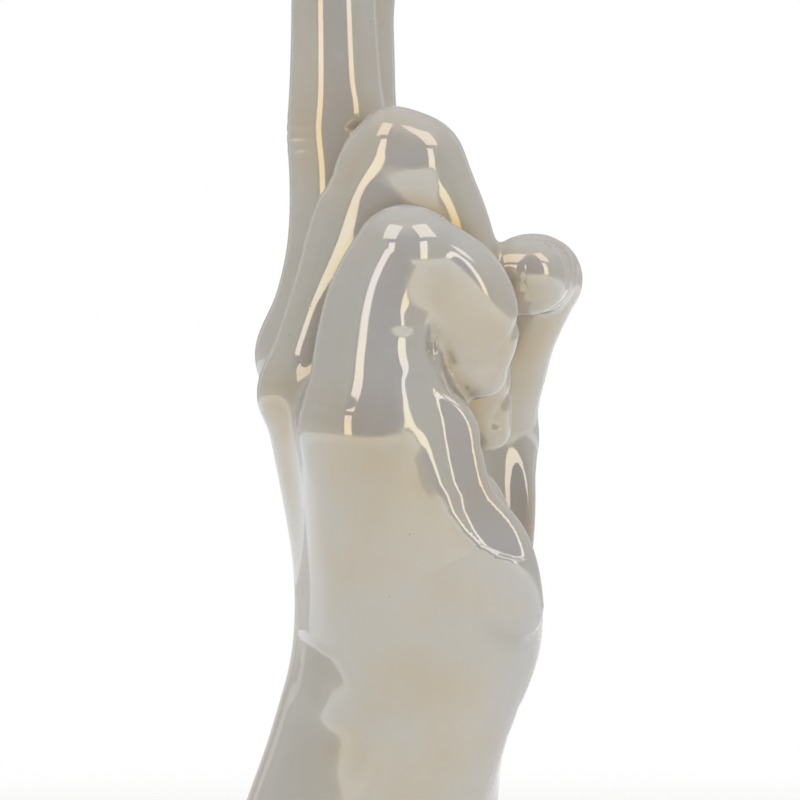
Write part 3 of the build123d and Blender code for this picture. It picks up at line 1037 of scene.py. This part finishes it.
def fibre_tree(material):
    """A node tree that stands loose fibres on the felt's cut edge."""
    tree = bpy.data.node_groups.new("felt_fibres", "GeometryNodeTree")
    face = tree.interface
    face.new_socket("Geometry", in_out="INPUT", socket_type="NodeSocketGeometry")
    keys = {}
    for name, kind, value in (
        ("Fibres per square metre", "NodeSocketFloat", 4.0e6),
        ("Fibre length", "NodeSocketFloat", 0.0008),
        ("Fibre thickness", "NodeSocketFloat", 0.00003),
        ("Seed", "NodeSocketInt", 7),
    ):
        socket = face.new_socket(name, in_out="INPUT", socket_type=kind)
        socket.default_value = value
        keys[name] = socket.identifier
    face.new_socket("Geometry", in_out="OUTPUT", socket_type="NodeSocketGeometry")
    wiring = Wiring(tree)
    given = wiring.add("NodeGroupInput").outputs
    length, seed = given["Fibre length"], given["Seed"]
    up = wiring.split(wiring.out("GeometryNodeInputNormal"))["Z"]
    scattered = wiring.add(
        "GeometryNodeDistributePointsOnFaces",
        {
            "Mesh": given["Geometry"],
            "Selection": wiring.maths("LESS_THAN", wiring.maths("ABSOLUTE", up), 0.75),
            "Density": given["Fibres per square metre"],
            "Seed": seed,
        },
    ).outputs
    bend = wiring.out(
        "GeometryNodeCurveQuadraticBezier",
        {"Resolution": 4, "Start": (0, 0, 0), "Middle": (0.0, 0.1, 0.55), "End": (0.35, 0.2, 1.0)},
    )
    size = wiring.out("ShaderNodeCombineXYZ", {0: length, 1: length, 2: length})
    bent = wiring.out("GeometryNodeTransform", {"Geometry": bend, "Scale": size})
    section = wiring.out(
        "GeometryNodeCurvePrimitiveCircle", {"Resolution": 3, "Radius": given["Fibre thickness"]}
    )
    fibre = wiring.out(
        "GeometryNodeCurveToMesh", {"Curve": bent, "Profile Curve": section, "Fill Caps": True}
    )
    lean = wiring.out(
        "FunctionNodeRandomValue",
        {0: (-1.1, -1.1, 0.0), 1: (1.1, 1.1, 6.28), "Seed": seed},
        data_type="FLOAT_VECTOR",
    )
    turned = wiring.out(
        "FunctionNodeRotateRotation",
        {0: scattered["Rotation"], 1: lean},
        rotation_space="LOCAL",
    )
    share = wiring.add(
        "FunctionNodeRandomValue", {2: 0.35, 3: 1.0, "Seed": seed}, data_type="FLOAT"
    ).outputs[1]
    placed = wiring.out(
        "GeometryNodeInstanceOnPoints",
        {"Points": scattered["Points"], "Instance": fibre, "Rotation": turned, "Scale": share},
    )
    real = wiring.out("GeometryNodeRealizeInstances", {0: placed})
    dressed = wiring.out("GeometryNodeSetMaterial", {0: real, "Material": material})
    wiring.end("NodeGroupOutput", dressed)
    return tree, keys


def grow(name, mesh, tree, values):
    """The mesh that a node tree makes from another, as a plain mesh that stays above the floor."""
    carrier = link_piece(name, mesh)
    modifier = carrier.modifiers.new("grow", "NODES")
    modifier.node_group = tree
    for key, value in values.items():
        modifier[key] = value
    view = bpy.context.evaluated_depsgraph_get()
    grown = bpy.data.meshes.new_from_object(carrier.evaluated_get(view))
    carrier.modifiers.remove(modifier)
    bpy.data.objects.remove(carrier)
    places = np.empty(3 * len(grown.vertices))
    grown.vertices.foreach_get("co", places)
    places[2::3] = np.maximum(places[2::3], 0.0)
    grown.vertices.foreach_set("co", places)
    return link_piece(name, grown)


def felt(look):
    """The felt under the foot, and the fibres on its cut edge."""
    wool = felt_wool(tuple(look.felt_colour))
    margin = look.felt_margin / MM
    sheet = link_piece("felt_sheet", felt_sheet(look.felt_thickness / MM, margin))
    sheet.data.materials.append(wool)
    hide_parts("felt_base")
    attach(sheet, "root")
    tree, keys = fibre_tree(wool)
    values = {
        keys["Fibres per square metre"]: look.fibre_count * 1.0,
        keys["Fibre length"]: look.fibre_length,
        keys["Fibre thickness"]: look.fibre_length * FIBRE_SLIMNESS,
        keys["Seed"]: look.seed,
    }
    loose = grow("felt_fibres", sheet.data, tree, values)
    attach(loose, "root")
    x, y = (part * MM for part in felt_outline(margin, 0.0))


def backdrop(name, points, faces, material, smooth=False):
    """A piece of the studio."""
    piece = link_piece(name, mesh_of(name, points, faces, material, smooth))
    return piece


def paper_floor(reach):
    """Matt white paper that keeps the shadow and runs out into the white of the background."""
    material, wiring, place = new_material("white_paper")
    away = wiring.add("ShaderNodeVectorMath", {0: place}, operation="LENGTH").outputs["Value"]
    grain = wiring.spread(wiring.noise(place, 60.0, 3.0), 0.3, 0.7, 0.84, 0.87)
    grey = wiring.out("ShaderNodeCombineColor", {0: grain, 1: grain, 2: grain})
    paper = wiring.surface({"Base Color": grey, "Roughness": 0.9, "Specular IOR Level": 0.1})
    faded = wiring.spread(away, reach * 0.25, reach * 0.6, smooth=True)
    share = wiring.maths("MULTIPLY", faded, wiring.seen())
    surface = wiring.between(share, paper, wiring.glow((1.0, 1.0, 1.0)))
    wiring.end("ShaderNodeOutputMaterial", surface)
    return material


def room_wall(radius, front, rear):
    """The wall round the studio: grey behind the camera, pale behind the hand."""
    material, wiring, place = new_material("room_wall")
    place = wiring.split(place)

    def fade(axis, low, high, *ends, smooth=True):
        return wiring.spread(place[axis], low * radius, high * radius, *ends, smooth=smooth)

    turned = fade("Y", -0.85, -0.3)
    aside = fade("X", -0.7, -0.45, 1.0, 0.0, smooth=False)
    slow = wiring.maths("MULTIPLY", fade("Z", 0.0, 0.3, 0.45, 0.0), aside)
    foot = wiring.maths("MAXIMUM", fade("Z", 0.0, 0.09, 0.75, 0.0), slow)
    unturned = wiring.maths("SUBTRACT", 1.0, turned)
    band = wiring.maths("MULTIPLY", fade("Y", -0.86, -0.74), unturned)
    colour = wiring.layers(
        front,
        (turned, wiring.layers(LEFT_WALL, (fade("X", -0.6, 0.1), rear))),
        (band, GREEN_BAND),
        (fade("Z", 0.7, 1.4, 0.0, 0.8), CEILING),
        (foot, WALL_FOOT),
    )
    wiring.end("ShaderNodeOutputMaterial", wiring.glow(colour))
    return material


def lamp_glow(name, top, bottom, strength, height):
    """The light of a diffuser: one colour at its top and another at its foot."""
    material, wiring, place = new_material(name)
    share = wiring.spread(wiring.split(place)["Z"], 0.0, height)
    glow = wiring.glow(wiring.layers(tuple(bottom), (share, tuple(top))), strength)
    wiring.end("ShaderNodeOutputMaterial", glow)
    return material


def upright_panel(turn, distance, width, low, high, tilt=0.0):
    """The corners of a lamp's front that faces the hand. turn runs from the camera to the right."""
    inward = np.array((-math.sin(turn), math.cos(turn), 0.0))
    along = np.array((math.cos(turn), math.sin(turn), 0.0))
    foot = -inward * distance + np.array((0, 0, low))
    head = foot + (np.array((0, 0, math.cos(tilt))) + inward * math.sin(tilt)) * (high - low)
    half = along * width / 2
    return [tuple(corner) for corner in (foot - half, foot + half, head + half, head - half)]


def room(look):
    """The floor, the wall and the ceiling. Gives those that the camera looks through."""
    radius = look.wall_distance
    turns = np.arange(WALL_SIDES) * 2 * math.pi / WALL_SIDES

    def ring(radius, height):
        return [(math.cos(t) * radius, math.sin(t) * radius, height) for t in turns]

    disc = list(range(WALL_SIDES))
    backdrop("floor", ring(radius * FLOOR_REACH, 0.0), [disc], paper_floor(PAPER_REACH))
    height = radius * look.wall_height
    strips = [(WALL_SIDES + i, i, j, WALL_SIDES + j) for i, j in zip(disc, disc[1:] + disc[:1])]
    paint = room_wall(radius, tuple(look.wall_front), tuple(look.wall_rear))
    wall = backdrop("wall", ring(radius, 0.0) + ring(radius, height), strips, paint, True)
    material, wiring, _ = new_material("room_ceiling")
    wiring.end("ShaderNodeOutputMaterial", wiring.glow(CEILING))
    ceiling = backdrop("ceiling", ring(radius, height), [disc[::-1]], material)
    ceiling.visible_diffuse = False
    return [wall, ceiling]


def lamps(look):
    """The tall lamps beside the camera, each with a square one above it, and two rear lamps."""
    strength = look.lamp_strength
    near = look.wall_distance * LAMP_SHARE
    tall = lamp_glow("tall_lamp", look.lamp_top, look.lamp_foot, strength, near * TALL_FADE)
    rear = lamp_glow("rear_lamp", *REAR_LAMP_COLOURS, strength * REAR_POWER, near * REAR_FADE)
    square = lamp_glow("square_lamp", SQUARE_LAMP, SQUARE_LAMP, strength * SQUARE_POWER, near)
    made = []
    for name, turn, width, light in (
        ("lamp_left", look.lamp_left, TALL_BREADTH, tall),
        ("lamp_right", look.lamp_right, TALL_BREADTH, tall),
        ("lamp_rear_right", REAR_TURN, REAR_BREADTH, rear),
        ("lamp_rear_left", -REAR_TURN, REAR_BREADTH, rear),
    ):
        foot, head = LAMP_FOOT * near, look.lamp_height * near
        corners = upright_panel(turn, near, width * near, foot, head)
        made.append(backdrop(name, corners, [(0, 1, 2, 3)], light))
        if light is tall:
            across = near * SQUARE_NEAR, near * SQUARE_BREADTH
            above = near * SQUARE_LOW, near * SQUARE_HIGH, SQUARE_TILT
            corners = upright_panel(turn * SQUARE_TURN, *across, *above)
            made.append(backdrop(name + "_square", corners, [(0, 1, 2, 3)], square))
    return made


def studio(look):
    """The room, the lamps, the world and the camera."""
    scene = bpy.context.scene
    scene.view_settings.view_transform = "Standard"
    for piece in room(look) + lamps(look):
        piece.visible_camera = False
    scene.world = bpy.data.worlds.new("studio_world")
    scene.world.use_nodes = True
    wiring = Wiring(scene.world.node_tree)
    strength = wiring.spread(wiring.seen(), 0.0, 1.0, look.sky_strength, 1.0)
    sky = wiring.out("ShaderNodeBackground", {"Color": (1.0, 1.0, 1.0), "Strength": strength})
    wiring.end("ShaderNodeOutputWorld", sky)
    data = bpy.data.cameras.new("camera")
    camera = bpy.data.objects.new("camera", data)
    scene.collection.objects.link(camera)
    aim = np.array(VIEW_AIM) * MM
    camera.location = (aim[0], aim[1] - look.camera_distance, aim[2])
    camera.rotation_euler = (math.pi / 2, 0.0, 0.0)
    data.sensor_width = SENSOR
    data.lens = SENSOR * look.camera_distance / (VIEW_WIDTH * MM)
    data.clip_start, data.clip_end = 0.05, 40.0
    scene.camera = camera


Share = functools.partial(FloatProperty, subtype="FACTOR", min=0.0)
Length = functools.partial(FloatProperty, subtype="DISTANCE", unit="LENGTH")
Angle = functools.partial(FloatProperty, subtype="ANGLE", unit="ROTATION")
Colour = functools.partial(FloatVectorProperty, subtype="COLOR", min=0.0, max=1.0)


class HandLook(bpy.types.PropertyGroup):
    """The sizes of the skin's relief and of the mesh."""

    mesh_step: FloatProperty(
        name="First mesh step",
        description="Size of the first mesh's cells in millimetres, twice the finished mesh's",
        default=1.4, min=0.8, max=3.0,
    )
    relief: Share(
        name="Relief", description="How full the nails, knuckles, creases and palm lines are",
        default=1.0, max=2.0,
    )


class GlazeLook(bpy.types.PropertyGroup):
    """The colours and the lustre of the glaze."""

    body: Colour(
        name="Glaze", description="Colour of the glaze where it is even",
        default=(0.462, 0.452, 0.445),
    )
    # The colour that is painted in hollows and creases as shade
    painted_shade_colour: Colour(
        name="Painted shade colour", description="Colour painted in hollows and creases as shade",
        default=(0.3, 0.28, 0.25),
    )
    warm: Colour(
        name="Warm glaze", description="Colour of the warmer patches of the glaze",
        default=(0.49, 0.472, 0.455),
    )
    film: FloatProperty(
        name="Lustre thickness", description="Mean thickness of the lustre in nm",
        default=72.0, min=0.0, max=1000.0,
    )
    film_spread: FloatProperty(
        name="Lustre unevenness", description="How far the lustre's thickness varies, in nm",
        default=13.0, min=0.0, max=300.0,
    )
    gloss: Share(
        name="Roughness", description="Roughness of the fired surface", default=0.045, max=1.0
    )
    ripple: Length(
        name="Ripple", description="Height of the glaze's soft ripples",
        default=0.05 * MM, min=0.0, max=0.001, precision=6,
    )


class FeltLook(bpy.types.PropertyGroup):
    """The felt under the foot."""

    felt_thickness: Length(
        name="Felt thickness", description="Thickness of the felt",
        default=FOOT * MM, min=0.0005, max=0.01,
    )
    felt_margin: Length(
        name="Felt margin", description="How far the felt stays inside the foot's edge",
        default=FELT_MARGIN * MM, min=0.0, max=0.01,
    )
    felt_colour: Colour(
        name="Felt colour", description="Colour of the felt", default=(0.045, 0.043, 0.04)
    )
    fibre_length: Length(
        name="Fibre length", description="Length of the longest loose fibres",
        default=0.8 * MM, min=0.0, max=0.005,
    )
    fibre_count: FloatProperty(
        name="Fibres per square metre", description="How many loose fibres the cut edge has",
        default=4.0e6, min=0.0, max=5.0e7,
    )
    seed: IntProperty(
        name="Seed", description="Start of the fibres' random places", default=7, min=0
    )


class StudioLook(bpy.types.PropertyGroup):
    """The studio's walls, lamps and camera."""

    wall_distance: Length(
        name="Wall distance", description="From the hand to the studio's wall",
        default=1.8, min=1.3, max=10.0,
    )
    wall_height: FloatProperty(
        name="Wall height", description="Height of the wall as a share of its distance",
        default=1.35, min=0.2, max=3.0,
    )
    wall_front: Colour(
        name="Front wall", description="Colour of the wall behind the camera",
        default=(0.33, 0.322, 0.35),
    )
    wall_rear: Colour(
        name="Rear wall", description="Colour of the wall behind the hand",
        default=(0.53, 0.51, 0.47),
    )
    lamp_strength: FloatProperty(
        name="Lamp strength", description="Brightness of the tall lamps",
        default=2.0, min=0.0, max=20.0,
    )
    lamp_top: Colour(
        name="Lamp top", description="Colour of a tall lamp at its top", default=(0.9, 0.82, 1.0)
    )
    lamp_foot: Colour(
        name="Lamp foot", description="Colour of a tall lamp at its foot",
        default=(1.0, 0.93, 0.68),
    )
    lamp_left: Angle(
        name="Left lamp", description="Turn of the left lamp from the camera's line",
        default=math.radians(-27),
    )
    lamp_right: Angle(
        name="Right lamp", description="Turn of the right lamp from the camera's line",
        default=math.radians(34),
    )
    lamp_height: FloatProperty(
        name="Lamp height", description="Height of the tall lamps as a share of their distance",
        default=0.58, min=0.1, max=2.0,
    )
    sky_strength: FloatProperty(
        name="Sky strength", description="Brightness of the soft light from above",
        default=1.9, min=0.0, max=5.0,
    )
    camera_distance: Length(
        name="Camera distance", description="From the camera to the middle of the hand",
        default=1.1, min=0.5, max=10.0,
    )


def cast(context, *names):
    """Makes the named castings with the scene's glaze."""
    scene = context.scene
    look = scene.ceramic_hand_glaze
    glaze = pearl_glaze(
        tuple(look.body), tuple(look.painted_shade_colour), tuple(look.warm),
        look.film, look.film_spread, look.gloss, look.ripple,
    )
    for name in names:
        casting(name, scene.ceramic_hand_form, glaze)
    return {"FINISHED"}


class PalmAndArm(bpy.types.Operator):
    """Make the glazed casting of the forearm, wrist and palm"""

    bl_idname = "ceramic_hand.palm_and_arm"
    bl_label = "Palm and arm"

    def execute(self, context):
        return cast(context, "palm_and_arm")


class RaisedFingers(bpy.types.Operator):
    """Make the glazed castings of the two raised fingers"""

    bl_idname = "ceramic_hand.raised_fingers"
    bl_label = "Raised fingers"

    def execute(self, context):
        return cast(context, "index_finger", "middle_finger")


class FoldedFingers(bpy.types.Operator):
    """Make the glazed castings of the two folded fingers"""

    bl_idname = "ceramic_hand.folded_fingers"
    bl_label = "Folded fingers"

    def execute(self, context):
        return cast(context, "ring_finger", "little_finger")


class Thumb(bpy.types.Operator):
    """Make the glazed casting of the thumb"""

    bl_idname = "ceramic_hand.thumb"
    bl_label = "Thumb"

    def execute(self, context):
        return cast(context, "thumb")


class FeltBase(bpy.types.Operator):
    """Make the felt under the foot, with the loose fibres on its edge"""

    bl_idname = "ceramic_hand.felt_base"
    bl_label = "Felt"

    def execute(self, context):
        felt(context.scene.ceramic_hand_felt)
        return {"FINISHED"}


class Studio(bpy.types.Operator):
    """Make the floor, walls, lamps, world and camera"""

    bl_idname = "ceramic_hand.studio"
    bl_label = "Studio"

    def execute(self, context):
        studio(context.scene.ceramic_hand_studio)
        return {"FINISHED"}


LOOKS = {
    "ceramic_hand_form": HandLook,
    "ceramic_hand_glaze": GlazeLook,
    "ceramic_hand_felt": FeltLook,
    "ceramic_hand_studio": StudioLook,
}
STEPS = (PalmAndArm, RaisedFingers, FoldedFingers, Thumb, FeltBase, Studio)


class HandPanel(bpy.types.Panel):
    """Lists the hand's sizes, colours and steps"""

    bl_idname = "VIEW3D_PT_ceramic_hand"
    bl_label = "Ceramic hand"
    bl_space_type = "VIEW_3D"
    bl_region_type = "UI"
    bl_category = "Ceramic hand"

    def draw(self, context):
        for key, look in LOOKS.items():
            column = self.layout.column(align=True)
            for name in look.__annotations__:
                column.prop(getattr(context.scene, key), name)
        for step in STEPS:
            self.layout.operator(step.bl_idname)


def register():
    for one in (*LOOKS.values(), *STEPS, HandPanel):
        bpy.utils.register_class(one)
    for key, look in LOOKS.items():
        setattr(bpy.types.Scene, key, PointerProperty(type=look))


def unregister():
    for key in LOOKS:
        delattr(bpy.types.Scene, key)
    for one in reversed((*LOOKS.values(), *STEPS, HandPanel)):
        bpy.utils.unregister_class(one)


def main():
    register()
    for step in STEPS:
        group, name = step.bl_idname.split(".")
        getattr(getattr(bpy.ops, group), name)()


if __name__ == "__main__":
    main()
